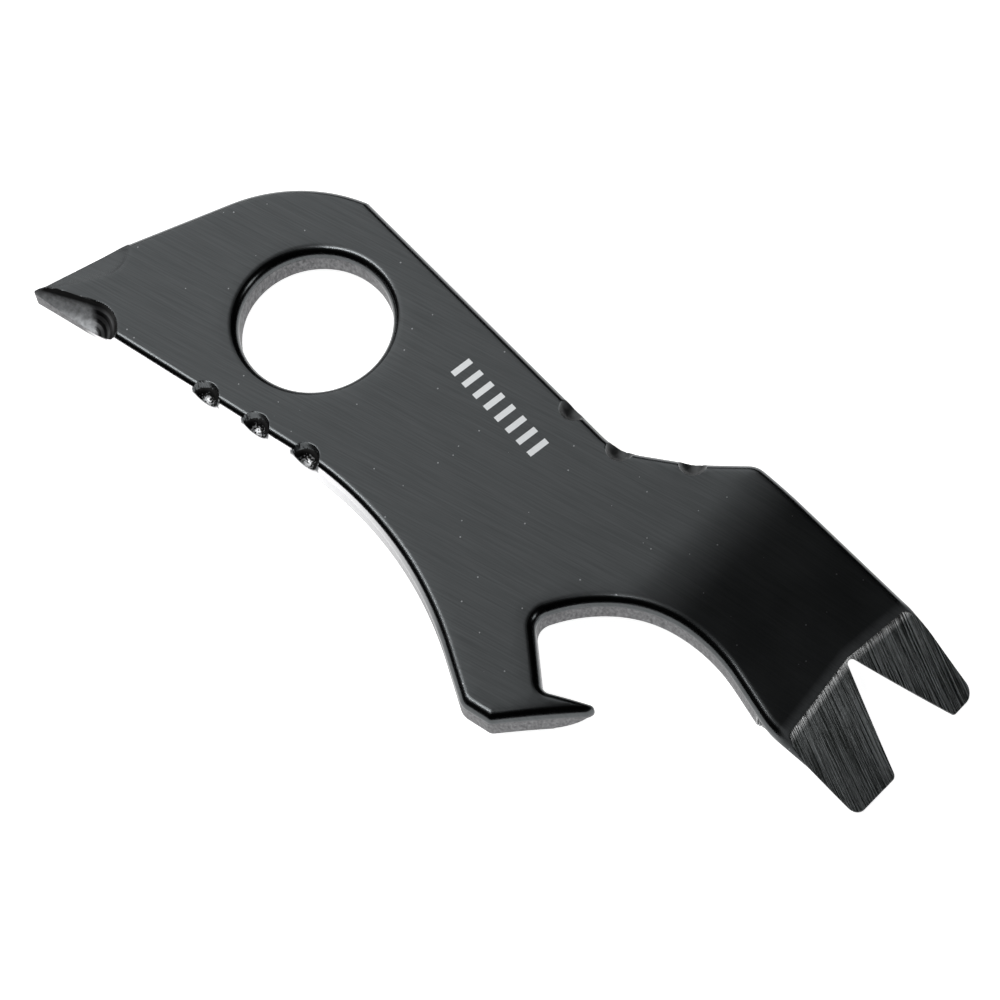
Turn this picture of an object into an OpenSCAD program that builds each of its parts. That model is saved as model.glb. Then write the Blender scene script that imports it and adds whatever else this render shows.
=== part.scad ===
// Keychain bottle opener: one steel blank, 2.5 mm thick, with a ring hole, a cap lifter with a
// hooked lip, a bent and ground two-prong pry end with a nail slot, and a fluted driver point.
// The origin is the centre of the ring hole on the flat underside. X runs along the straight
// back edge towards the pry end, Y towards that back edge, and Z up through the plate.

/* [Plate] */
// Thickness of the steel blank
plate_t = 2.5; // [2.3:0.1:2.8]
// Diameter of the ring hole
ring_hole_d = 10.8; // [9:0.1:11.5]
// Radius rolled onto the upper rim of the ring hole
rim_r = 0.8; // [0.3:0.1:1]

/* [Back edge] */
// Distance of the straight back edge from the hole centre
back_y = 8.9; // [8.7:0.05:9.2]
// Radius of the rounded head beside the ring hole
head_r = 11.6; // [11:0.1:12]

/* [Finger edge] */
// Radius of the hollow for the finger
finger_r = 28.8; // [24:0.1:32]

/* [Cap lifter] */
// Radius of the arch of the cap lifter
arch_r = 10.6; // [9.6:0.1:11]
// Radius at the root of the hook
root_r = 1.2; // [0.8:0.1:1.4]
// Radius that thins the lip from below
lip_r = 2.4; // [2.3:0.1:3]

/* [Pry end] */
// Angle of the pry end's axis from the back edge
pry_angle = 6.25; // [5.5:0.05:7]
// Distance along that axis at which the bend starts
bend_start = 30.3; // [29:0.1:31]
// Outer radius of the bend
bend_r = 16; // [12:0.5:20]
// Angle of the bend
bend_angle = 16; // [12:0.5:18]
// Distance along the axis at which the ground facet starts
grind_start = 44.2; // [43.8:0.1:44.6]
// Distance along the axis at which the prongs end
pry_end = 50.5; // [49.5:0.1:51]
// Thickness left at the tips of the prongs
tip_t = 0.35; // [0.25:0.05:0.6]
// Half the opening angle of the nail slot
slot_half_angle = 22.3; // [20:0.1:24]
// Angle at which the nail slot is relieved from below
slot_relief = 26; // [0:1:30]

/* [Driver point] */
// Radius of the ball-nosed cutter that leaves the deep flute beside the finger edge
deep_flute_r = 2.55; // [2.4:0.05:2.7]
// Depth of that flute at its inland end
deep_flute_depth = 1.45; // [1.2:0.05:1.5]
// Radius of the ball-nosed cutter that leaves the shallow flutes
shallow_flute_r = 5.1; // [4.6:0.1:5.2]
// Depth of the shallow flutes at their inland ends
shallow_flute_depth = 0.5; // [0.4:0.05:0.55]

/* [Edge dimples] */
// Radius of the ball that leaves the dimples
dimple_r = 1.05; // [0.9:0.05:1.25]

/* [Hidden] */
$fn = 96;
cut = 30;
rim_overlap = 0.02;
steel = [0.16, 0.17, 0.17];

// Where the pry end's features lie, along its axis and across it
pry_slot_root = 43.2;
pry_slot_n = 6;
pry_upper_n = 11.8;
pry_lower_n = -1.4;
pry_upper_tip_n = 11.05;
pry_lower_tip_n = -0.9;
slot_tip_n = (pry_end - pry_slot_root) * tan(slot_half_angle);
slot_root_r = 0.35;
slot_land = 0.15;

// The bend from the side: the corners that its two arcs round, and the height of the tips
outer_corner = bend_start + bend_r * tan(bend_angle / 2);
inner_corner = bend_start + (bend_r - plate_t) * tan(bend_angle / 2);
tip_z = (inner_corner - pry_end) * tan(bend_angle) + tip_t;
grind_angle = atan2(bent_z(grind_start) - tip_z, pry_end - grind_start);

// Angle at which the lower prong's outer wall is relieved from below, and how far along the axis
// that relief starts at the lower face and has reached the upper one
prong_relief = 15;
prong_relief_start = 38.8;
prong_relief_full = 44;
prong_relief_n = pry_lower_n - 0.26;

// Corners of the outline, each as [x, y, radius of its rounding], anticlockwise
point_corners = [[-14.06, -5.78, 2], [-15.35, -12.2, 0.8], [-15.75, -13.05, 0.1]];
finger_corners = [[-9, -11.38, 10], [16.09, -5.36, finger_r]];
hook_corners = [
    [28.94, -11.21, 1.3], [31.2, -10.65, 0.6], [35.05, -5.3, 0.8],
    [35.15, -4.32, 0.33], [31.83, -6.53, 0.7], [27.46, -3.48, root_r]
];
arch_corners = [[30.9, 5, arch_r], [43, 3.35, 6]];
prong_corners = [
    in_pry_frame(pry_end, pry_lower_tip_n, 0.8),
    in_pry_frame(pry_end, pry_slot_n - slot_tip_n, 0.4),
    in_pry_frame(pry_slot_root, pry_slot_n, slot_root_r),
    in_pry_frame(pry_end, pry_slot_n + slot_tip_n, 0.3),
    in_pry_frame(pry_end, pry_upper_tip_n, 0.9),
    in_pry_frame(grind_start, pry_upper_n, 6)
];
back_corners = [[29.05, 15.1, 1.6], [26.3, 12.24, 15], [21.85, back_y, 5]];
head_corners = [[-4.98, back_y, 0.6], [-10.1, 6.62, head_r]];
outline_corners = concat(
    point_corners, finger_corners, hook_corners, arch_corners,
    prong_corners, back_corners, head_corners
);

// Centres of the ball cuts in the upper edge, and how far each ball's centre lies below the face
finger_dimples = [[-0.68, -9.43], [3.57, -8.38], [7.77, -7.33]];
finger_dimple_sink = 0.3;
back_dimples = [[17.43, 8.71], [21.93, 9.01], [26.08, 11.91]];
back_dimple_sink = -0.25;

// The driver point: where each flute ends inland and which way it runs, beside the finger edge
// and beside the head, and how steeply they all dive
finger_flute = [[-10.5, -12.3], 209];
head_flute = [[-14.75, -7.75], 239];
flute_dive = 1.5;
flute_length = 12;

// The lip of the hook: its tip, which way it points and where its round from below starts
lip_tip = [35.05, -5.04];
lip_toward = 25;
lip_round_start = 2.23;
lip_width = 10;

function in_pry_frame(s, n, r) = [
    s * cos(pry_angle) - n * sin(pry_angle),
    s * sin(pry_angle) + n * cos(pry_angle),
    r
];
function bent_z(s) = plate_t + (outer_corner - s) * tan(bend_angle);
function lower_z(s) = (inner_corner - s) * tan(bend_angle);
function xy(p) = [p.x, p.y];
function unit(v) = v / norm(v);
function turn(a, b) = a.x * b.y - a.y * b.x;

// The rounding of corner b between a and c: its two tangent points, its centre, its radius and
// whether the corner is convex
function rounding(a, b, c) =
    let (
        to_a = unit(xy(a) - xy(b)),
        to_c = unit(xy(c) - xy(b)),
        half = acos(to_a * to_c) / 2,
        reach = b[2] / tan(half),
        centre = xy(b) + unit(to_a + to_c) * b[2] / sin(half)
    )
    [xy(b) + to_a * reach, xy(b) + to_c * reach, centre, b[2], turn(to_c, to_a) > 0];

function roundings(corners) = [
    for (i = [0 : len(corners) - 1])
        rounding(
            corners[(i + len(corners) - 1) % len(corners)],
            corners[i],
            corners[(i + 1) % len(corners)]
        )
];

// What a rounding leaves of its corner: the part of the corner that its circle covers
module rounded_corner(corner, rounded) {
    chord_middle = (rounded[0] + rounded[1]) / 2;
    intersection() {
        translate(rounded[2])
            circle(r = rounded[3]);
        polygon([rounded[0], xy(corner), rounded[1], chord_middle + (rounded[2] - chord_middle) / 10]);
    }
}

// A polygon whose corners are true arcs
module rounded_polygon(corners) {
    rounded = roundings(corners);
    difference() {
        union() {
            polygon([for (r = rounded) each [r[0], r[1]]]);
            for (i = [0 : len(corners) - 1])
                if (rounded[i][3] > 0 && rounded[i][4])
                    rounded_corner(corners[i], rounded[i]);
        }
        for (i = [0 : len(corners) - 1])
            if (rounded[i][3] > 0 && !rounded[i][4])
                rounded_corner(corners[i], rounded[i]);
    }
}

// The plate from the side, in the pry end's own axis: flat, bent down, then ground to a wedge
module side_profile() {
    rounded_polygon([
        [-cut, 0, 0],
        [inner_corner, 0, bend_r - plate_t],
        [pry_end, tip_z - tip_t, 0],
        [pry_end, tip_z, 0],
        [grind_start, bent_z(grind_start), 0],
        [outer_corner, plate_t, bend_r],
        [-cut, plate_t, 0]
    ]);
}

// The blank, cut to its outline and bent
module blank() {
    intersection() {
        translate([0, 0, -cut / 2])
            linear_extrude(cut)
                rounded_polygon(outline_corners);
        rotate([0, 0, pry_angle])
            rotate([90, 0, 0])
                linear_extrude(2 * cut, center = true)
                    side_profile();
    }
}

// The ring hole with its rolled upper rim
module ring_hole() {
    hole_r = ring_hole_d / 2;
    translate([0, 0, -1])
        cylinder(r = hole_r, h = plate_t + 2);
    rotate_extrude()
        translate([0, plate_t - rim_r])
            difference() {
                square([hole_r + rim_r - rim_overlap, 2 * rim_r]);
                translate([hole_r + rim_r, 0])
                    circle(r = rim_r);
            }
}

// All that lies to the right of a wall along X, the wall leaning out to the left as it goes down
module leaning_cut(lean) {
    rotate([lean, 0, 0])
        translate([-cut / 2, -cut, -cut / 2])
            cube(cut);
}

// One side of the slot's relief, its wall half_angle from X and root_r from the origin
module slot_relief_side(half_angle, root_r) {
    rotate([0, 0, half_angle])
        translate([0, root_r, 0])
            leaning_cut(slot_relief);
}

// The relief below the nail slot: its walls and round root flare downward from the ground face
module nail_slot_relief() {
    depth = 2 * plate_t;
    root_s = pry_slot_root + slot_root_r / sin(slot_half_angle);
    half_angle = atan(tan(slot_half_angle) * cos(grind_angle));
    root_r = (root_s - pry_slot_root) / cos(grind_angle) * sin(half_angle);
    back_lean = atan(tan(slot_relief) * sin(half_angle));
    face_z = bent_z(grind_start) + (grind_start - root_s) * tan(grind_angle);
    translate([root_s, pry_slot_n, face_z - slot_land])
        rotate([0, grind_angle, 0]) {
            translate([0, 0, -depth])
                cylinder(r1 = root_r + depth * tan(slot_relief), r2 = root_r, h = depth);
            intersection() {
                slot_relief_side(half_angle, root_r);
                mirror([0, 1, 0])
                    slot_relief_side(half_angle, root_r);
                rotate([0, 0, -90])
                    translate([0, -root_r * sin(half_angle), 0])
                        rotate([back_lean, 0, 0])
                            translate([-cut / 2, 0, -cut])
                                cube(cut);
            }
        }
}

// All that lies outside and below a line, up to a plane that leans in below that line
module leaning_in(from, to) {
    translate(from)
        rotate([0, atan2(from.z - to.z, norm(xy(to) - xy(from))), atan2(to.y - from.y, to.x - from.x)])
            rotate([prong_relief, 0, 0])
                translate([-cut / 2, -cut / 4, -cut / 4])
                    cube([cut, cut / 4, cut / 4]);
}

// The relief below the lower prong's outer wall: it grows to the wall's full height, then stays
module prong_relief_cut() {
    full = [prong_relief_full, prong_relief_n, bent_z(prong_relief_full)];
    intersection() {
        leaning_in([prong_relief_start, prong_relief_n, lower_z(prong_relief_start)], full);
        leaning_in(full, [pry_end, pry_lower_tip_n, tip_z]);
    }
}

// A straight cut from the origin along X, its floor touching the XY plane, by a ball-nosed cutter
module ball_cut(radius) {
    translate([0, 0, radius]) {
        sphere(r = radius);
        rotate([0, 90, 0])
            cylinder(r = radius, h = flute_length);
    }
}

// Places a flute's cut: its floor so deep at its inland end, diving away from the face
module flute(place, depth) {
    translate([place[0].x, place[0].y, plate_t - depth])
        rotate([0, flute_dive, place[1]])
            children();
}

// The flutes on both faces of the driver point: only the one seen beside the finger edge is deep
module driver_flutes() {
    flute(finger_flute, deep_flute_depth)
        ball_cut(deep_flute_r);
    flute(head_flute, shallow_flute_depth)
        ball_cut(shallow_flute_r);
    translate([0, 0, plate_t])
        mirror([0, 0, 1])
            for (place = [finger_flute, head_flute])
                flute(place, shallow_flute_depth)
                    ball_cut(shallow_flute_r);
}

module edge_dimples(places, sink) {
    for (p = places)
        translate([p.x, p.y, plate_t - sink])
            sphere(r = dimple_r);
}

// Rounds the lip from below so that it slips under a cap
module lip_relief() {
    translate([lip_tip.x, lip_tip.y, 0])
        rotate([0, 0, lip_toward])
            translate([-lip_round_start, 0, lip_r])
                rotate([90, 0, 0])
                    linear_extrude(lip_width, center = true)
                        difference() {
                            translate([0, -lip_r - 1])
                                square([lip_r + 3, lip_r + 1]);
                            circle(r = lip_r);
                        }
}

module tool_body() {
    color(steel)
        difference() {
            blank();
            ring_hole();
            driver_flutes();
            edge_dimples(finger_dimples, finger_dimple_sink);
            edge_dimples(back_dimples, back_dimple_sink);
            lip_relief();
            rotate([0, 0, pry_angle]) {
                nail_slot_relief();
                prong_relief_cut();
            }
        }
}

tool_body();
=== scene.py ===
"""The looks of a keychain bottle opener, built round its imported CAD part.

The tool is one steel blank: sheared, bent, ground and coated. Its upper and lower faces are
height fields over one triangulated outline, joined by the sheared wall. Sizes are in
millimetres until a mesh or a light is made, and the frame is the CAD part's own.
"""

import math

import bpy
import numpy as np
from mathutils import Matrix, Vector, geometry, kdtree

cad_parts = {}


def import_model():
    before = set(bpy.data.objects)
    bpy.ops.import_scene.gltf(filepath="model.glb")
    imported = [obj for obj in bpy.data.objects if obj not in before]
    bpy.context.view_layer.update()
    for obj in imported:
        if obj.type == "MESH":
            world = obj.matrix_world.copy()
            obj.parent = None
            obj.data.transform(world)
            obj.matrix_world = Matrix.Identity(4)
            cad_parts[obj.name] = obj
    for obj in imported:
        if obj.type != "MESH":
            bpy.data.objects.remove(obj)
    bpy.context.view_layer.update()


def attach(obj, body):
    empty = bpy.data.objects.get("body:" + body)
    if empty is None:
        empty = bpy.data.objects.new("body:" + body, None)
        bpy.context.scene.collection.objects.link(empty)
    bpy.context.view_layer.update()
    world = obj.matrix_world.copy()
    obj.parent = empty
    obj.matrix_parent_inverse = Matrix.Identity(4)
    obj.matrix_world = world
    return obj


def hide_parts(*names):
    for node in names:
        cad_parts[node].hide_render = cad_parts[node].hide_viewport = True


MM = 0.001

# The plate and its bend along the pry end's axis
PLATE_T = 2.5
PRY_ANGLE = math.radians(6.25)
BEND_START = 30.3
BEND_R = 16.0
BEND_ANGLE = math.radians(16)
GRIND_START = 44.2
PRY_END = 50.5
TIP_T = 0.35

# The nail slot between the prongs
SLOT_ROOT = 43.2
SLOT_N = 6.0
SLOT_HALF_ANGLE = math.radians(22.3)
SLOT_TIP_N = (PRY_END - SLOT_ROOT) * math.tan(SLOT_HALF_ANGLE)
SLOT_RELIEF = math.radians(26)
SLOT_LAND = 0.15

# How the ground facets meet: each prong's is turned a little, so they are deepest at the slot
FACET_TURN = 0.045
FACET_REACH = 5.4
FACET_HOLLOW = 0.012

# The lower prong's relief: where it starts and reaches the upper face, and how it leans
PRONG_RELIEF_START = 38.8
PRONG_RELIEF_FULL = 44.0
PRONG_RELIEF_N = -1.66
PRONG_TIP_N = -0.9
PRONG_RELIEF = math.radians(15)

# The ring hole, the rolled upper edges and the small radius of the lower ones
HOLE_R = 5.4
HOLE_ROLL_R = 0.8
ROLL_R = 0.83
BURR_R = 0.15

# The finger edge, below this Y: its smaller roll, and where that grows to the common one
FINGER_EDGE_Y = -5.8
FINGER_ROLL_R = 0.7
FINGER_ROLL_GROWS = (8, 18)

# Below this Y the finger edge is painted bright steel, a painted highlight where light falls on
# it: it fades in and out along X, and on the upper face it starts further on and spares the
# dimples' rims
PAINTED_LIGHT_Y = -5.6
PAINTED_LIGHT_FROM = (-11.4, -10.2)
PAINTED_LIGHT_UNTIL = (24, 6)
UPPER_PAINTED_LIGHT_X = -9.2
NO_PAINTED_LIGHT_ROUND_DIMPLE = 0.15

# The driver point's flutes, each as where it ends inland and which way it runs, and their
# ball-nosed cutters, each as its radius and its depth at the inland end
FINGER_FLUTE = ((-10.5, -12.3), math.radians(209))
HEAD_FLUTE = ((-14.75, -7.75), math.radians(239))
DEEP_CUT = (2.55, 1.45)
SHALLOW_CUT = (5.1, 0.5)
UPPER_FLUTES = ((FINGER_FLUTE, DEEP_CUT), (HEAD_FLUTE, SHALLOW_CUT))
LOWER_FLUTES = ((FINGER_FLUTE, SHALLOW_CUT), (HEAD_FLUTE, SHALLOW_CUT))
FLUTE_DIVE = math.tan(math.radians(1.5))
FLUTE_STEEPEST = math.radians(68)

# The deep flute's floor is painted lighter round a point, a painted highlight, and has its dark
# coat again between two distances
FLUTE_PAINTED_LIGHT_AT = (-13.1, -13.0, 1.2)
FLUTE_PAINTED_LIGHT_FADE = (2.4, 3.0)

# The edge dimples, each as its centre and how far below the face that lies
DIMPLE_R = 1.05
FINGER_SINK = 0.3
BACK_SINK = -0.25
DIMPLES = (
    ((-0.68, -9.43), FINGER_SINK), ((3.57, -8.38), FINGER_SINK), ((7.77, -7.33), FINGER_SINK),
    ((17.43, 8.71), BACK_SINK), ((21.93, 9.01), BACK_SINK), ((26.08, 11.91), BACK_SINK),
)
DIMPLE_WALL_SLOPE = 8

# The hook's lip, rounded from below
LIP_TIP = (35.05, -5.04)
LIP_TOWARD = math.radians(25)
LIP_START = 2.23
LIP_R = 2.4
LIP_HALF_WIDTH = 5

# How much steel stays between the faces, and how widely the cuts' rims are softened
THINNEST = 0.12
SOFT_FLUTE = 0.1
SOFT_DIMPLE = 0.12

# How far the floor stays below the tool, where across the pry end its middle lies, and half its
# side in metres
FLOOR_GAP = 0.02
FLOOR_N = 4
FLOOR_HALF = 2.0

# The row of etched bars beside the ring hole
BARS_COUNT = 8
BARS_START = (9.6, 4.28)
BARS_TURN = math.radians(-1.36)
BARS_PITCH = 1.18
BARS_WIDTH = 0.47
BARS_HEIGHT = 1.61

# Where the lights look and how far away they stand, in metres, and the lights: for each the
# direction it stands in, its sides in metres and its radiance
LIGHTS_AT = Vector((0.015, 0, 0))
LIGHTS_AWAY = 0.9
LIGHTS = (
    ("back_left_box", (-0.715, 0.28, 0.64), (0.9, 0.9), 1.15),
    ("top_fill", (-0.12, 0.26, 0.96), (0.25, 0.5), 0.25),
    ("right_box", (0.75, 0.58, 0.5), (0.22, 0.22), 2.8),
    ("top_strip", (-0.25, -0.36, 0.9), (0.65, 0.08), 22.0),
)
WORLD_STRENGTH = 0.002

# The camera's axes and its place in metres: it looks down on the tool from beyond its pry end
CAMERA_RIGHT = Vector((0.64626, 0.75904, -0.07883))
CAMERA_UP = Vector((-0.65761, 0.60634, 0.44709))
CAMERA_BACK = Vector((0.38716, -0.23710, 0.89101))
CAMERA_AT = Vector((0.124028, -0.063668, 0.243273))
CAMERA_SENSOR = 36
CAMERA_LENS = 144

# How finely the outline and the faces are cut up
EDGE_STEP = 0.16
ARC_STEP = math.radians(8)
HOLE_POINTS = 240
WALL_ROWS = 5
ROLL_STEPS = 9
FILL_STEP = 0.9
FACET_STEP = 0.3
FACET_BOX = ((43.0, 1.0), (52.0, 17.0))
CREASE_ACROSS = np.arange(-1.6, 12.0, 0.15)

# Where the flutes and dimples need points: distances from their middles, finest at the rims
FLUTE_RINGS = (0.6, 1.1, 1.5, 1.8, 1.95, 2.05, 2.12, 2.19, 2.24, 2.29, 2.34, 2.4, 2.6)
FLUTE_ALONG = np.arange(0.12, 8, 0.14)
DIMPLE_RINGS = (0.2, 0.4, 0.6, 0.76, 0.88, 0.96, 1.01, 1.05, 1.09, 1.14, 1.2, 1.3)
DIMPLE_POINTS = 44

# How far points of each kind keep from the points that are there before them, and all of them
# from edges, and what share of its distance to the outline a moved copy's point must have kept
FLUTE_GAP = 0.035
DIMPLE_GAP = 0.03
FACET_GAP = 0.12
FILL_GAP = 0.45
CREASE_GAP = 0.02
HOLE_GAP = 0.02
EDGE_GAP = 0.012
NOT_CROSSED = 0.97

# Points nearer together than this count as one, and how many are measured at a time
SAME_POINT = 1e-5
BATCH = 2000

# The tool's materials, in the order of its slots
FACE, WALL, FACET, FLUTE, DIMPLE = range(5)
SHARP_FROM = math.radians(32)

# How near the upper face must come to a cut's own surface to have its material
FACET_SLACK = 0.01
FLUTE_SLACK = 0.04
DIMPLE_SHARE = 0.93

# Masks' ends, and the bright steel colour painted on the finger edge as a painted highlight
OFF = (0, 0, 0)
ON = (1, 1, 1)
PAINTED_HIGHLIGHT_STEEL = (0.86, 0.86, 0.87, 1)


def in_pry_frame(s, n, radius):
    """A corner given along and across the pry end's axis."""
    c, t = math.cos(PRY_ANGLE), math.sin(PRY_ANGLE)
    return (s * c - n * t, s * t + n * c, radius)


# Corners of the outline, each as x, y and the radius of its rounding, anticlockwise
BODY_CORNERS = [
    (-14.06, -5.78, 2), (-15.35, -12.2, 0.8), (-15.75, -13.05, 0.1),
    (-9, -11.38, 10), (16.09, -5.36, 28.8),
    (28.94, -11.21, 1.3), (31.2, -10.65, 0.6), (35.05, -5.3, 0.8),
    (35.15, -4.32, 0.33), (31.83, -6.53, 0.7), (27.46, -3.48, 1.2),
    (30.9, 5, 10.6), (43, 3.35, 6),
    in_pry_frame(PRY_END, -0.9, 0.8),
]
SLOT_CORNERS = [
    in_pry_frame(PRY_END, SLOT_N - SLOT_TIP_N, 0.4),
    in_pry_frame(SLOT_ROOT, SLOT_N, 0.35),
    in_pry_frame(PRY_END, SLOT_N + SLOT_TIP_N, 0.3),
]
BACK_CORNERS = [
    in_pry_frame(PRY_END, 11.05, 0.9), in_pry_frame(GRIND_START, 11.8, 6),
    (29.05, 15.1, 1.6), (26.3, 12.24, 15), (21.85, 8.9, 5),
    (-4.98, 8.9, 0.6), (-10.1, 6.62, 11.6),
]


# ---- The outline ----

def unit(v):
    return v / np.linalg.norm(v)


def arc_points(before, corner, after):
    """The points of a corner's rounding, from its first tangent point to its last."""
    here = np.array(corner[:2], float)
    to_a = unit(np.array(before[:2]) - here)
    to_c = unit(np.array(after[:2]) - here)
    half = math.acos(to_a @ to_c) / 2
    radius = corner[2]
    centre = here + unit(to_a + to_c) * radius / math.sin(half)
    arms = [here + arm * radius / math.tan(half) - centre for arm in (to_a, to_c)]
    start, end = (math.atan2(arm[1], arm[0]) for arm in arms)
    sweep = (end - start + math.pi) % (2 * math.pi) - math.pi
    count = max(2, math.ceil(abs(sweep) * radius / EDGE_STEP), math.ceil(abs(sweep) / ARC_STEP))
    angles = start + sweep * np.linspace(0, 1, count + 1)
    return centre + radius * np.column_stack([np.cos(angles), np.sin(angles)])


def filled(start, end):
    """Points between start and end, without either, no further apart than EDGE_STEP."""
    count = max(1, math.ceil(np.linalg.norm(end - start) / EDGE_STEP))
    return start + (end - start) * np.arange(1, count)[:, None] / count


def outline():
    """The outline's points, and for each whether the edge after it belongs to the slot."""
    corners = BODY_CORNERS + SLOT_CORNERS + BACK_CORNERS
    slot_from = len(BODY_CORNERS)
    slot_to = slot_from + len(SLOT_CORNERS) - 1
    arcs = [
        arc_points(corners[i - 1], corner, corners[(i + 1) % len(corners)])
        for i, corner in enumerate(corners)
    ]
    points, in_slot = [], []
    for i, arc in enumerate(arcs):
        straight = filled(arc[-1], arcs[(i + 1) % len(arcs)][0])
        points += [arc, straight]
        in_slot += [slot_from < i < slot_to] * len(arc)
        in_slot += [slot_from <= i < slot_to] * len(straight)
    return np.vstack(points), np.array(in_slot)


def ring(centre, radius, count):
    """Evenly spaced points round a circle."""
    angles = np.arange(count) * 2 * math.pi / count
    return np.array(centre) + radius * np.column_stack([np.cos(angles), np.sin(angles)])


def edges_of(loop):
    """The starts and the ends of a loop's edges."""
    return loop, np.roll(loop, -1, axis=0)


def gap_to(points, starts, ends):
    """Each point's distance from the nearest of the edges."""
    run = ends - starts
    length_2 = (run**2).sum(1)
    gaps = np.empty(len(points))
    for at in range(0, len(points), BATCH):
        offset = points[at:at + BATCH, None, :] - starts
        t = np.clip((offset * run).sum(2) / length_2, 0, 1)
        gaps[at:at + BATCH] = np.sqrt(((offset - t[..., None] * run) ** 2).sum(2).min(1))
    return gaps


def inside(points, loop):
    """Whether each point lies inside the loop."""
    (x1, y1), (x2, y2) = (side.T for side in edges_of(loop))
    found = np.zeros(len(points), bool)
    for at in range(0, len(points), BATCH):
        x, y = points[at:at + BATCH, :1], points[at:at + BATCH, 1:]
        spans = (y1 > y) != (y2 > y)
        rise = np.where(y2 == y1, 1, y2 - y1)
        crosses = spans & (x < x1 + (y - y1) / rise * (x2 - x1))
        found[at:at + BATCH] = crosses.sum(1) % 2 == 1
    return found


# ---- The two faces as height fields ----

def to_pry(points):
    """Distances along and across the pry end's axis."""
    c, t = math.cos(PRY_ANGLE), math.sin(PRY_ANGLE)
    return points[:, 0] * c + points[:, 1] * t, points[:, 1] * c - points[:, 0] * t


def bent(s, flat_z, radius):
    """Height of one face of the bent plate."""
    reach = radius * math.sin(BEND_ANGLE)
    turned = np.clip(s - BEND_START, 0, reach)
    straight = np.clip(s - BEND_START - reach, 0, None)
    return flat_z - radius + np.sqrt(radius**2 - turned**2) - straight * math.tan(BEND_ANGLE)


def rolled(gap, radius):
    """How far a rounded edge has dropped at that distance from the wall."""
    short = np.clip(radius - gap, 0, radius)
    return radius - np.sqrt(radius**2 - short**2)


TIP_Z = float(bent(PRY_END, 0, BEND_R - PLATE_T)) + TIP_T
GRIND_Z = float(bent(GRIND_START, PLATE_T, BEND_R))
GRIND_SLOPE = (GRIND_Z - TIP_Z) / (PRY_END - GRIND_START)


def ground(s, n):
    """Height of the ground facets, carried on in every direction."""
    turned = FACET_TURN * (FACET_REACH - np.abs(n - SLOT_N))
    hollow = FACET_HOLLOW * (s - GRIND_START) * (PRY_END - s)
    return GRIND_Z - (s - GRIND_START) * GRIND_SLOPE - turned - hollow


def fade(values, start, end):
    """0 up to start and 1 from end on, whichever of the two is larger."""
    return np.clip((values - start) / (end - start), 0, 1)


def soft_min(a, b, width):
    """The smaller of a and b, rounded off where they differ by less than width."""
    near = np.clip(1 - np.abs(a - b) / width, 0, 1)
    return np.minimum(a, b) - near**2 * width / 4


def flute_floor(points, place, cutter):
    """Height of a ball-nosed cutter's flute in the upper face, rising without limit outside it."""
    inland, toward = place
    radius, depth = cutter
    offset = points[:, :2] - np.array(inland)
    along = offset @ np.array([math.cos(toward), math.sin(toward)])
    across = offset @ np.array([-math.sin(toward), math.cos(toward)])
    reach = np.where(along > 0, np.abs(across), np.hypot(along, across))
    steep_from = radius * math.sin(FLUTE_STEEPEST)
    rise = radius - np.sqrt(radius**2 - np.clip(reach, 0, steep_from)**2)
    rise += np.clip(reach - steep_from, 0, None) * math.tan(FLUTE_STEEPEST)
    return PLATE_T - depth + rise - np.clip(along, 0, None) * FLUTE_DIVE


def ball_floor(points, centre, sink):
    """Height of a ball cut, its wall above the ball's middle nearly upright."""
    reach = np.hypot(*(points - np.array(centre)).T)
    drop = np.sqrt(np.clip(DIMPLE_R**2 - reach**2, 0, None))
    return PLATE_T - sink - drop + DIMPLE_WALL_SLOPE * np.clip(reach - DIMPLE_R, 0, None)


def flutes(points, cuts):
    """Height of the deepest of several flutes."""
    return np.min([flute_floor(points, *cut) for cut in cuts], axis=0)


def edge_roll_r(points):
    """Radius rolled onto the outer edge: smaller along the finger edge."""
    x, y = points[:, 0], points[:, 1]
    finger_roll_r = FINGER_ROLL_R + (ROLL_R - FINGER_ROLL_R) * fade(x, *FINGER_ROLL_GROWS)
    return np.where(y < FINGER_EDGE_Y, finger_roll_r, ROLL_R)


def upper_face(points, edge_gap, hole_gap):
    """Height of the upper face, at those distances from the outline and the hole."""
    s, n = to_pry(points)
    roll = np.maximum(rolled(edge_gap, edge_roll_r(points)), rolled(hole_gap, HOLE_ROLL_R))
    z = np.minimum(bent(s, PLATE_T, BEND_R) - roll, ground(s, n))
    z = soft_min(z, flutes(points, UPPER_FLUTES), SOFT_FLUTE)
    for centre, sink in DIMPLES:
        z = soft_min(z, ball_floor(points, centre, sink), SOFT_DIMPLE)
    return z


def slot_relief(s, n, slot_gap):
    """Height of the flare below the slot's walls."""
    upper = np.minimum(ground(s, n), bent(s, PLATE_T, BEND_R))
    return upper - SLOT_LAND - slot_gap / math.tan(SLOT_RELIEF)


def prong_relief(s, n):
    """Height of the relief below the lower prong's outer wall: it grows, then stays."""
    full_z = float(bent(PRONG_RELIEF_FULL, PLATE_T, BEND_R))
    start_z = float(bent(PRONG_RELIEF_START, 0, BEND_R - PLATE_T))
    growing = (full_z - start_z) / (PRONG_RELIEF_FULL - PRONG_RELIEF_START)
    share = (s - PRONG_RELIEF_FULL) / (PRY_END - PRONG_RELIEF_FULL)
    top = np.minimum(full_z + share * (TIP_Z - full_z), full_z + (s - PRONG_RELIEF_FULL) * growing)
    wall_n = PRONG_RELIEF_N + np.clip(share, 0, 1) * (PRONG_TIP_N - PRONG_RELIEF_N)
    z = top - np.clip(n - wall_n, 0, None) / math.tan(PRONG_RELIEF)
    return np.where(n > SLOT_N, -np.inf, z)


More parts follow.
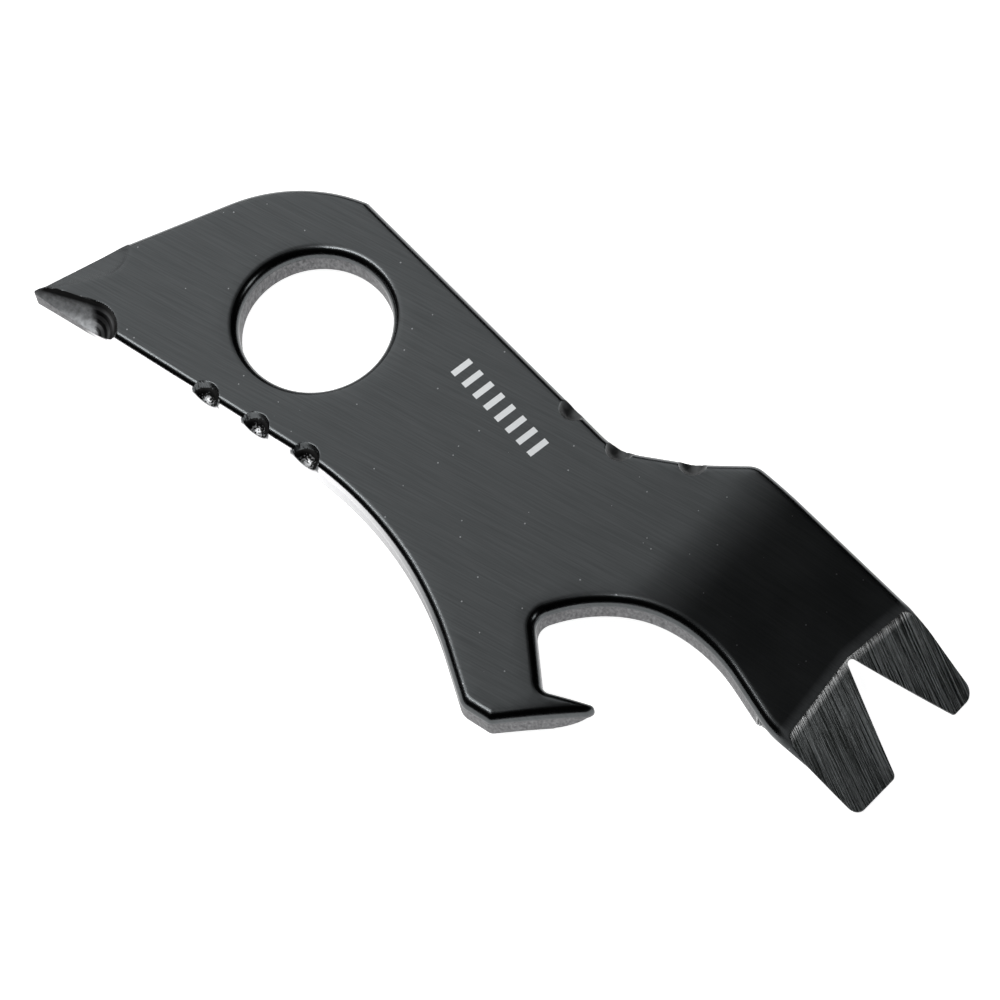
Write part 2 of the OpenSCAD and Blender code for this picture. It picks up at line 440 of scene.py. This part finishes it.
def lip_relief(points):
    """Height of the round below the hook's lip."""
    toward = np.array([math.cos(LIP_TOWARD), math.sin(LIP_TOWARD)])
    offset = points - np.array(LIP_TIP)
    along = np.clip(offset @ toward + LIP_START, 0, LIP_R)
    near = np.abs(offset @ np.array([-toward[1], toward[0]])) < LIP_HALF_WIDTH
    return np.where(near & (along > 0), LIP_R - np.sqrt(LIP_R**2 - along**2), -np.inf)


def lower_face(points, upper, edge_gap, slot_gap, hole_gap):
    """Height of the lower face, at those distances from the outline, the slot and the hole."""
    s, n = to_pry(points)
    gap = np.minimum.reduce([edge_gap, slot_gap, hole_gap])
    z = bent(s, 0, BEND_R - PLATE_T) + rolled(gap, BURR_R)
    z = -soft_min(-z, flutes(points, LOWER_FLUTES) - PLATE_T, SOFT_FLUTE)
    for relief in (slot_relief(s, n, slot_gap), prong_relief(s, n), lip_relief(points)):
        z = np.maximum(z, relief)
    return np.minimum(z, upper - THINNEST)


# ---- Where the faces need points ----

def inward(loop):
    """The unit normals of an anticlockwise loop, pointing in."""
    run = np.roll(loop, -1, axis=0) - np.roll(loop, 1, axis=0)
    return np.column_stack([-run[:, 1], run[:, 0]]) / np.linalg.norm(run, axis=1)[:, None]


def roll_gaps(radius):
    """Distances from the wall that cut a rolled edge into even turns."""
    turns = np.arange(1, ROLL_STEPS + 1) / ROLL_STEPS * math.pi / 2
    return radius * (1 - np.cos(turns))


def edge_rings(loop, gaps):
    """Copies of the outline, each a distance inside it, without what has crossed over."""
    normals = inward(loop)
    rings = []
    for gap in gaps:
        moved = loop + normals * gap
        rings.append(moved[gap_to(moved, *edges_of(loop)) > NOT_CROSSED * gap])
    return rings


def crease():
    """The line where the facets start."""
    first_slope = GRIND_SLOPE + FACET_HOLLOW * (PRY_END - GRIND_START)
    across = []
    for n in CREASE_ACROSS:
        turned = FACET_TURN * (FACET_REACH - abs(n - SLOT_N))
        across.append((GRIND_START - turned / (first_slope - math.tan(BEND_ANGLE)), n))
    return np.array([in_pry_frame(s, n, 0)[:2] for s, n in across])


def hex_grid(low, high, step):
    """Points in staggered rows over a box."""
    rows = []
    for j, y in enumerate(np.arange(low[1], high[1], step * math.sqrt(3) / 2)):
        x = np.arange(low[0] + (j % 2) * step / 2, high[0], step)
        rows.append(np.column_stack([x, np.full(len(x), y)]))
    return np.vstack(rows)


def flute_points():
    """Fine points over and round each flute."""
    clouds = []
    for inland, toward in (FINGER_FLUTE, HEAD_FLUTE):
        for radius in FLUTE_RINGS:
            clouds.append(ring(inland, radius, int(radius * 30) + 12))
        ahead = np.array([math.cos(toward), math.sin(toward)])
        aside = np.array([-ahead[1], ahead[0]])
        middle = np.array(inland) + FLUTE_ALONG[:, None] * ahead
        for across in (0, *FLUTE_RINGS):
            clouds += [middle - across * aside, middle + across * aside]
    return clouds


def dimple_points():
    """Fine points over and round each dimple."""
    return [
        ring(centre, radius, DIMPLE_POINTS) for centre, _ in DIMPLES for radius in DIMPLE_RINGS
    ]


def keep_clear(points, taken, gap):
    """The points further than gap from every point taken."""
    tree = kdtree.KDTree(len(taken))
    for i, (x, y) in enumerate(taken):
        tree.insert((x, y, 0), i)
    tree.balance()
    return np.array([p for p in points if tree.find((p[0], p[1], 0))[2] > gap]).reshape(-1, 2)


def face_points(loop, hole):
    """The points of the outline and the hole, then those of the rolled edges and inside."""
    gaps = np.sort(np.append(roll_gaps(ROLL_R), roll_gaps(FINGER_ROLL_R)))
    hole_rings = [ring((0, 0), HOLE_R + gap, len(hole)) for gap in roll_gaps(HOLE_ROLL_R)]
    taken = np.vstack([loop, hole, *edge_rings(loop, gaps), *hole_rings])
    for cloud, gap in (
        (np.vstack(flute_points()), FLUTE_GAP),
        (np.vstack(dimple_points()), DIMPLE_GAP),
        (hex_grid(*FACET_BOX, FACET_STEP), FACET_GAP),
        (hex_grid(loop.min(0), loop.max(0), FILL_STEP), FILL_GAP),
    ):
        kept = cloud[inside(cloud, loop)]
        kept = kept[np.hypot(*kept.T) > HOLE_R + HOLE_GAP]
        kept = kept[gap_to(kept, *edges_of(loop)) > EDGE_GAP]
        taken = np.vstack([taken, keep_clear(kept, taken, gap)])
    return taken


# ---- The mesh ----

def triangulate(loop, hole):
    """Points and anticlockwise triangles that cover the outline less the hole."""
    points = face_points(loop, hole)
    line = crease()
    line = line[inside(line, loop) & (gap_to(line, *edges_of(loop)) > CREASE_GAP)]
    first = len(loop)
    last = first + len(hole)
    edges = [(i, (i + 1) % first) for i in range(first)]
    edges += [(i, first + (i + 1 - first) % len(hole)) for i in range(first, last)]
    points = np.vstack([points, keep_clear(line, points, CREASE_GAP)])
    found = geometry.delaunay_2d_cdt([Vector(p) for p in points], edges, [], 0, SAME_POINT)
    flat = np.array([v[:] for v in found[0]])
    triangles = np.array([f[:] for f in found[2]])
    middles = flat[triangles].mean(1)
    solid = inside(middles, loop) & ~inside(middles, hole)
    triangles = triangles[solid]
    (ax, ay), (bx, by), (cx, cy) = (flat[triangles[:, k]].T for k in range(3))
    turned = (bx - ax) * (cy - ay) - (by - ay) * (cx - ax) < 0
    triangles[turned] = triangles[turned][:, ::-1]
    return flat, triangles


def open_edges(triangles):
    """The directed edges that belong to one triangle only."""
    edges = triangles[:, [0, 1, 1, 2, 2, 0]].reshape(-1, 2)
    known = {tuple(edge) for edge in edges.tolist()}
    return [(a, b) for a, b in edges.tolist() if (b, a) not in known]


def wall(flat, upper, lower, edges, first):
    """Rows of points down the wall, and its quads, for the given open edges."""
    rims = sorted({a for a, _ in edges})
    row = {v: i for i, v in enumerate(rims)}
    count = len(flat)
    points = []
    for step in range(1, WALL_ROWS):
        share = step / WALL_ROWS
        z = upper[rims] * (1 - share) + lower[rims] * share
        points.append(np.column_stack([flat[rims], z]))

    def at(v, step):
        if step == 0:
            return v
        if step == WALL_ROWS:
            return v + count
        return first + (step - 1) * len(rims) + row[v]

    quads = [
        (at(b, step), at(a, step), at(a, step + 1), at(b, step + 1))
        for a, b in edges for step in range(WALL_ROWS)
    ]
    return np.vstack(points), quads


def tool_mesh():
    """The tool as one closed mesh, and how many faces and points its upper face has.

    The upper face's points and faces come first, then as many for the lower one, then the wall's.
    """
    loop, in_slot = outline()
    hole = ring((0, 0), HOLE_R, HOLE_POINTS)
    flat, triangles = triangulate(loop, hole)
    starts, ends = edges_of(loop)
    edge_gap = gap_to(flat, starts[~in_slot], ends[~in_slot])
    slot_gap = gap_to(flat, starts[in_slot], ends[in_slot])
    hole_gap = np.abs(np.hypot(*flat.T) - HOLE_R)
    upper = upper_face(flat, edge_gap, hole_gap)
    lower = lower_face(flat, upper, edge_gap, slot_gap, hole_gap)
    count = len(flat)
    side_points, quads = wall(flat, upper, lower, open_edges(triangles), 2 * count)
    points = np.vstack([
        np.column_stack([flat, upper]), np.column_stack([flat, lower]), side_points,
    ])
    faces = triangles.tolist() + (triangles[:, ::-1] + count).tolist() + quads
    return points, faces, len(triangles), count


def in_dimple(points, reach):
    """Whether each point lies within that distance of a dimple's middle."""
    found = np.zeros(len(points), bool)
    for centre, _ in DIMPLES:
        found |= np.hypot(*(points[:, :2] - np.array(centre)).T) < reach
    return found


def painted_light_on_finger_edge(points, upper_count):
    """Where the finger edge is painted bright steel, a painted highlight: 1 there, and fading out
    towards the hook.
    """
    x, y = points[:, 0], points[:, 1]
    painted_light = fade(x, *PAINTED_LIGHT_UNTIL) * fade(x, *PAINTED_LIGHT_FROM) * (y < PAINTED_LIGHT_Y)
    upper = points[:upper_count]
    without_painted_light = (upper[:, 0] < UPPER_PAINTED_LIGHT_X) | in_dimple(upper, DIMPLE_R + NO_PAINTED_LIGHT_ROUND_DIMPLE)
    painted_light[:upper_count][without_painted_light] = 0
    return painted_light


def add_attributes(mesh, points, upper_count):
    """What the materials need to know at each point."""
    s, n = to_pry(points[:, :2])
    flat = bent(s, PLATE_T, BEND_R)
    for name, values in (
        ("below_face", flat - points[:, 2]),
        ("from_crease", flat - ground(s, n)),
        ("painted_light", painted_light_on_finger_edge(points, upper_count)),
    ):
        attribute = mesh.attributes.new(name, "FLOAT", "POINT")
        attribute.data.foreach_set("value", values.astype(np.float32))


def face_kinds(points, faces, face_count):
    """Each face's material."""
    middles = np.array([points[list(face)].mean(0) for face in faces[:face_count]])
    kinds = np.full(len(faces), WALL, np.int32)
    kinds[:2 * face_count] = FACE
    upper = kinds[:face_count]
    upper[ground(*to_pry(middles[:, :2])) < middles[:, 2] + FACET_SLACK] = FACET
    upper[flute_floor(middles, FINGER_FLUTE, DEEP_CUT) < middles[:, 2] + FLUTE_SLACK] = FLUTE
    upper[in_dimple(middles, DIMPLE_SHARE * DIMPLE_R)] = DIMPLE
    return kinds


def build_tool(materials):
    points, faces, face_count, upper_count = tool_mesh()
    mesh = bpy.data.meshes.new("tool_body_finish")
    mesh.from_pydata((points * MM).tolist(), [], faces)
    for material in materials:
        mesh.materials.append(material)
    add_attributes(mesh, points, upper_count)
    mesh.polygons.foreach_set("material_index", face_kinds(points, faces, face_count))
    mesh.polygons.foreach_set("use_smooth", np.ones(len(faces), bool))
    mesh.set_sharp_from_angle(angle=SHARP_FROM)
    mesh.validate()
    tool = bpy.data.objects.new("tool_body_finish", mesh)
    bpy.context.scene.collection.objects.link(tool)
    tool.modifiers.new("even_shading", "WEIGHTED_NORMAL").keep_sharp = True
    return tool


# ---- Materials ----

def new_material(name):
    material = bpy.data.materials.new(name)
    material.use_nodes = True
    return material, material.node_tree, material.node_tree.nodes["Principled BSDF"]


def plug(tree, made, inputs):
    """Set a node's inputs to values, or link them to sockets."""
    for key, value in inputs.items():
        if isinstance(value, bpy.types.NodeSocket):
            tree.links.new(value, made.inputs[key])
        else:
            made.inputs[key].default_value = value


def node(tree, kind, inputs=None, **settings):
    """A new node with its settings and inputs."""
    made = tree.nodes.new(kind)
    for key, value in settings.items():
        setattr(made, key, value)
    plug(tree, made, inputs or {})
    return made


def finish_steel(tree, shader, colour, roughness, normal):
    plug(tree, shader, {
        "Metallic": 1.0, "Base Color": colour, "Roughness": roughness, "Normal": normal,
    })


def math_node(tree, operation, *values):
    return node(tree, "ShaderNodeMath", dict(enumerate(values)), operation=operation).outputs[0]


def object_place(tree):
    return node(tree, "ShaderNodeTexCoord").outputs["Object"]


def share_of(tree, value, low, high):
    """How far value has come from low to high: 0 to 1."""
    return node(
        tree, "ShaderNodeMapRange", {"Value": value, "From Min": low, "From Max": high}
    ).outputs[0]


def grain(tree, turn, stretch, scale, detail=4.0):
    """Noise drawn out along the direction at that turn from the X axis."""
    mapped = node(
        tree, "ShaderNodeMapping",
        {"Vector": object_place(tree), "Rotation": (0, 0, turn), "Scale": stretch},
        vector_type="TEXTURE",
    ).outputs[0]
    return node(
        tree, "ShaderNodeTexNoise", {"Vector": mapped, "Scale": scale, "Detail": detail}
    ).outputs["Fac"]


def ramp(tree, factor, low, high, dark, light):
    """A colour or value that goes from dark to light as factor goes from low to high."""
    made = node(tree, "ShaderNodeValToRGB", {"Fac": factor})
    made.color_ramp.elements[0].position = low
    made.color_ramp.elements[1].position = high
    made.color_ramp.elements[0].color = (*dark, 1)
    made.color_ramp.elements[1].color = (*light, 1)
    return made.outputs["Color"]


def mask(tree, factor, low, high):
    """0 up to low and 1 from high on."""
    return ramp(tree, factor, low, high, OFF, ON)


def bump(tree, height, strength, distance):
    return node(
        tree, "ShaderNodeBump", {"Height": height, "Strength": strength, "Distance": distance}
    ).outputs[0]


def mixed(tree, factor, a, b):
    """Colour a where factor is 0, and colour b where it is 1."""
    return node(
        tree, "ShaderNodeMix", {"Factor": factor, 6: a, 7: b}, data_type="RGBA"
    ).outputs[2]


def etched_bars(tree):
    """A mask that is 1 on the row of etched bars."""
    row = node(
        tree, "ShaderNodeMapping",
        {
            "Vector": object_place(tree),
            "Location": [BARS_START[0] * MM, BARS_START[1] * MM, 0],
            "Rotation": (0, 0, BARS_TURN),
            "Scale": [BARS_PITCH * MM, BARS_HEIGHT * MM, MM],
        },
        vector_type="TEXTURE",
    ).outputs[0]
    split = node(tree, "ShaderNodeSeparateXYZ", {"Vector": row})
    along, across = split.outputs[0], split.outputs[1]
    on_bar = math_node(tree, "LESS_THAN", math_node(tree, "FRACT", along), BARS_WIDTH / BARS_PITCH)
    in_row = math_node(tree, "COMPARE", along, BARS_COUNT / 2, BARS_COUNT / 2)
    in_height = math_node(tree, "COMPARE", across, 0.5, 0.5)
    return math_node(tree, "MULTIPLY", on_bar, math_node(tree, "MULTIPLY", in_row, in_height))


def specks(tree):
    """A mask that is 1 on a few tiny specks."""
    cells = node(tree, "ShaderNodeTexVoronoi", {"Vector": object_place(tree), "Scale": 900.0})
    return math_node(tree, "LESS_THAN", cells.outputs["Distance"], 0.05)


def attribute_value(tree, name):
    """One of the mesh's values at each point."""
    return node(tree, "ShaderNodeAttribute", attribute_name=name).outputs["Fac"]


def face_material():
    """The satin coat of the flat faces, with its fine brushing, the etched bars and specks."""
    material, tree, shader = new_material("coated_steel")
    brushed = grain(tree, math.radians(17), (0.012, 0.0003, 0.01), 3.0, 8.0)
    coat = ramp(tree, brushed, 0.3, 0.7, (0.072, 0.077, 0.079), (0.092, 0.097, 0.1))
    speckled = mixed(tree, specks(tree), coat, (0.3, 0.31, 0.32, 1))
    below = attribute_value(tree, "below_face")
    on_top = ramp(tree, below, 0.9, 1.0, ON, OFF)
    bars = math_node(tree, "MULTIPLY", etched_bars(tree), on_top)
    marked = mixed(tree, bars, speckled, (0.76, 0.78, 0.79, 1))
    # The finger edge's roll below the face is painted bright steel, a painted highlight.
    painted_light_depth = mask(tree, below, 0.22, 0.3)
    painted_light = math_node(tree, "MULTIPLY", painted_light_depth, attribute_value(tree, "painted_light"))
    colour = mixed(tree, painted_light, marked, PAINTED_HIGHLIGHT_STEEL)
    blotch = grain(tree, 0, (0.01, 0.01, 0.01), 2.0)
    satin = ramp(tree, blotch, 0.3, 0.7, (0.31,) * 3, (0.35,) * 3)
    rolled_edge = mask(tree, below, 0.02, 0.1)
    satin = mixed(tree, rolled_edge, satin, (0.2, 0.2, 0.2, 1))
    scuffed = share_of(tree, attribute_value(tree, "from_crease"), -0.35, 0.0)
    rough = mixed(tree, scuffed, satin, (0.6, 0.6, 0.6, 1))
    finish_steel(tree, shader, colour, rough, bump(tree, brushed, 0.25, 0.000012))
    return material


def wall_material():
    """The sheared wall: smooth and dark below the face, then broken, and painted bright by the
    finger, a painted highlight.
    """
    material, tree, shader = new_material("sheared_steel")
    below = attribute_value(tree, "below_face")
    wave = grain(tree, 0, (0.001, 0.001, 0.001), 1.2)
    shifted = math_node(tree, "ADD", below, math_node(tree, "MULTIPLY", wave, 0.35))
    broken = mask(tree, shifted, 0.99, 1.0)
    pits = grain(tree, 0, (0.0002, 0.0002, 0.0004), 1.0)
    rough_colour = ramp(tree, pits, 0.3, 0.7, (0.07, 0.07, 0.072), (0.2, 0.2, 0.206))
    without_painted_light = mixed(tree, broken, (0.015, 0.016, 0.016, 1), rough_colour)
    # By the finger the wall is painted bright steel, a painted highlight.
    colour = mixed(tree, attribute_value(tree, "painted_light"), without_painted_light, PAINTED_HIGHLIGHT_STEEL)
    rough = ramp(tree, broken, 0.2, 0.8, (0.3,) * 3, (0.5,) * 3)
    height = math_node(tree, "MULTIPLY", broken, pits)
    finish_steel(tree, shader, colour, rough, bump(tree, height, 0.5, 0.00006))
    return material


def facet_material():
    """The ground facets, with the wheel's lines and a painted highlight: a brighter band where
    they start.
    """
    material, tree, shader = new_material("ground_steel")
    lines = grain(tree, math.radians(-14), (0.02, 0.0003, 0.01), 3.0, 6.0)
    ground_colour = ramp(tree, lines, 0.38, 0.68, (0.016, 0.018, 0.017), (0.14, 0.148, 0.15))
    # The band where the facets start is painted bright, a painted highlight.
    painted_highlight_colour = ramp(tree, lines, 0.3, 0.6, (0.12, 0.122, 0.122), (0.6, 0.61, 0.61))
    start = ramp(tree, attribute_value(tree, "from_crease"), 0.0, 0.22, ON, OFF)
    colour = mixed(tree, start, ground_colour, painted_highlight_colour)
    rough = ramp(tree, lines, 0.3, 0.7, (0.23,) * 3, (0.31,) * 3)
    finish_steel(tree, shader, colour, rough, bump(tree, lines, 0.45, 0.00007))
    return material


def levelness(tree):
    """How nearly level the surface is: 1 where it is level, 0 where it is upright."""
    facing = node(tree, "ShaderNodeNewGeometry").outputs["Normal"]
    return node(tree, "ShaderNodeSeparateXYZ", {"Vector": facing}).outputs[2]


def flute_material():
    """The milled flute: painted lighter towards the point as a painted highlight, and coated, with
    the cutter's rings, inland; its steep sides are painted near-black as painted shade.
    """
    material, tree, shader = new_material("milled_steel")
    place = object_place(tree)
    inland = [FINGER_FLUTE[0][0] * MM, FINGER_FLUTE[0][1] * MM, 0]
    centred = node(
        tree, "ShaderNodeMapping", {"Vector": place, "Location": inland}, vector_type="TEXTURE"
    ).outputs[0]
    rings = node(
        tree, "ShaderNodeTexWave", {"Vector": centred, "Scale": 700.0, "Distortion": 0.8},
        wave_type="RINGS", rings_direction="Z",
    ).outputs["Fac"]
    pits = grain(tree, 0, (0.0003, 0.0003, 0.0003), 1.0)
    from_painted_light = node(
        tree, "ShaderNodeVectorMath", {0: place, 1: [v * MM for v in FLUTE_PAINTED_LIGHT_AT]},
        operation="DISTANCE",
    ).outputs["Value"]
    # Near the point the floor is painted lighter, a painted highlight; further inland it keeps the
    # ringed coat.
    without_painted_light = share_of(tree, from_painted_light, *(reach * MM for reach in FLUTE_PAINTED_LIGHT_FADE))
    bright = ramp(tree, pits, 0.3, 0.7, (0.2, 0.205, 0.21), (0.35, 0.36, 0.37))
    ringed = ramp(tree, rings, 0.3, 0.7, (0.02, 0.02, 0.021), (0.11, 0.112, 0.115))
    # Steep sides are painted near-black, a painted shade.
    painted_light_by_slope = mask(tree, levelness(tree), 0.56, 0.7)
    floor = mixed(tree, without_painted_light, bright, ringed)
    colour = mixed(tree, painted_light_by_slope, (0.008, 0.008, 0.008, 1), floor)
    rough = mixed(tree, without_painted_light, (0.55, 0.55, 0.55, 1), (0.33, 0.33, 0.33, 1))
    height = math_node(tree, "ADD", rings, pits)
    finish_steel(tree, shader, colour, rough, bump(tree, height, 0.3, 0.00002))
    return material


def dimple_material():
    """The dimples: steep sides painted black as painted shade, those in the finger edge with a
    bright, pitted bottom painted as a highlight.
    """
    material, tree, shader = new_material("drilled_steel")
    pits = grain(tree, 0, (0.00015, 0.00015, 0.00015), 1.0)
    # The finger dimples' steep sides are painted near-black, a painted shade, and their level
    # bottoms painted bright, a painted highlight.
    half_level = math_node(tree, "MULTIPLY", levelness(tree), 0.5)
    painted_light_by_slope = math_node(tree, "MULTIPLY_ADD", pits, 0.7, half_level)
    painted_highlight_and_shade = ramp(tree, painted_light_by_slope, 0.77, 0.84, (0.02, 0.02, 0.02), (0.55, 0.56, 0.57))
    y = node(tree, "ShaderNodeSeparateXYZ", {"Vector": object_place(tree)}).outputs[1]
    back = mask(tree, y, 0.0, 0.001)
    colour = mixed(tree, back, painted_highlight_and_shade, (0.08, 0.082, 0.083, 1))
    finish_steel(tree, shader, colour, 0.45, bump(tree, pits, 0.4, 0.00002))
    return material


def floor_material():
    """A pale floor that glows a little, so that it reads white."""
    material, tree, shader = new_material("pale_floor")
    plug(tree, shader, {
        "Base Color": (0.9, 0.9, 0.9, 1), "Roughness": 0.9, "Specular IOR Level": 0.0,
        "Emission Color": (1, 1, 1, 1), "Emission Strength": 0.95,
    })
    return material


# ---- The studio ----

def build_floor(tool):
    """A floor that the tool rests on: at its prong tips, and at the rear edge of its underside."""
    points = np.array([vertex.co for vertex in tool.data.vertices]) / MM
    low_z = float(bent(PRY_END, 0, BEND_R - PLATE_T)) - FLOOR_GAP
    s, _ = to_pry(points[:, :2])
    rear = s < 0
    slope = float(np.min((points[rear, 2] - low_z - FLOOR_GAP) / (PRY_END - s[rear])))
    along = Vector(in_pry_frame(1, 0, -slope)).normalized() * FLOOR_HALF
    across = Vector(in_pry_frame(0, 1, 0)) * FLOOR_HALF
    middle = Vector(in_pry_frame(PRY_END, FLOOR_N, low_z)) * MM
    corners = [
        middle + along * i + across * j for i, j in ((-1, -1), (1, -1), (1, 1), (-1, 1))
    ]
    mesh = bpy.data.meshes.new("floor")
    mesh.from_pydata([tuple(c) for c in corners], [], [(0, 1, 2, 3)])
    mesh.materials.append(floor_material())
    floor = bpy.data.objects.new("floor", mesh)
    bpy.context.scene.collection.objects.link(floor)
    return floor


def area_light(name, toward, size, radiance):
    """A soft light, its long side along X, that looks at the tool's middle from that direction."""
    back = Vector(toward).normalized()
    across = back.cross(Vector((1, 0, 0))).normalized()
    along = across.cross(back)
    data = bpy.data.lights.new(name, "AREA")
    data.shape = "RECTANGLE"
    data.size, data.size_y = size
    data.energy = radiance * math.pi * size[0] * size[1]
    light = bpy.data.objects.new(name, data)
    turned = Matrix([(along[i], across[i], back[i]) for i in range(3)]).to_4x4()
    light.matrix_world = Matrix.Translation(LIGHTS_AT + back * LIGHTS_AWAY) @ turned
    bpy.context.scene.collection.objects.link(light)


def build_lights():
    for light in LIGHTS:
        area_light(*light)
    world = bpy.data.worlds.new("studio")
    world.use_nodes = True
    background = world.node_tree.nodes["Background"]
    background.inputs["Color"].default_value = (1, 1, 1, 1)
    background.inputs["Strength"].default_value = WORLD_STRENGTH
    bpy.context.scene.world = world
    bpy.context.scene.view_settings.view_transform = "Standard"


def build_camera():
    data = bpy.data.cameras.new("camera")
    data.sensor_width = CAMERA_SENSOR
    data.lens = CAMERA_LENS
    camera = bpy.data.objects.new("camera", data)
    turned = Matrix([
        (CAMERA_RIGHT[i], CAMERA_UP[i], CAMERA_BACK[i]) for i in range(3)
    ]).to_4x4()
    camera.matrix_world = Matrix.Translation(CAMERA_AT) @ turned
    bpy.context.scene.collection.objects.link(camera)
    bpy.context.scene.camera = camera


def main():
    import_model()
    tool = build_tool([
        face_material(), wall_material(), facet_material(), flute_material(), dimple_material(),
    ])
    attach(tool, "root")
    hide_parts("tool_body")
    build_floor(tool)
    build_lights()
    build_camera()


main()
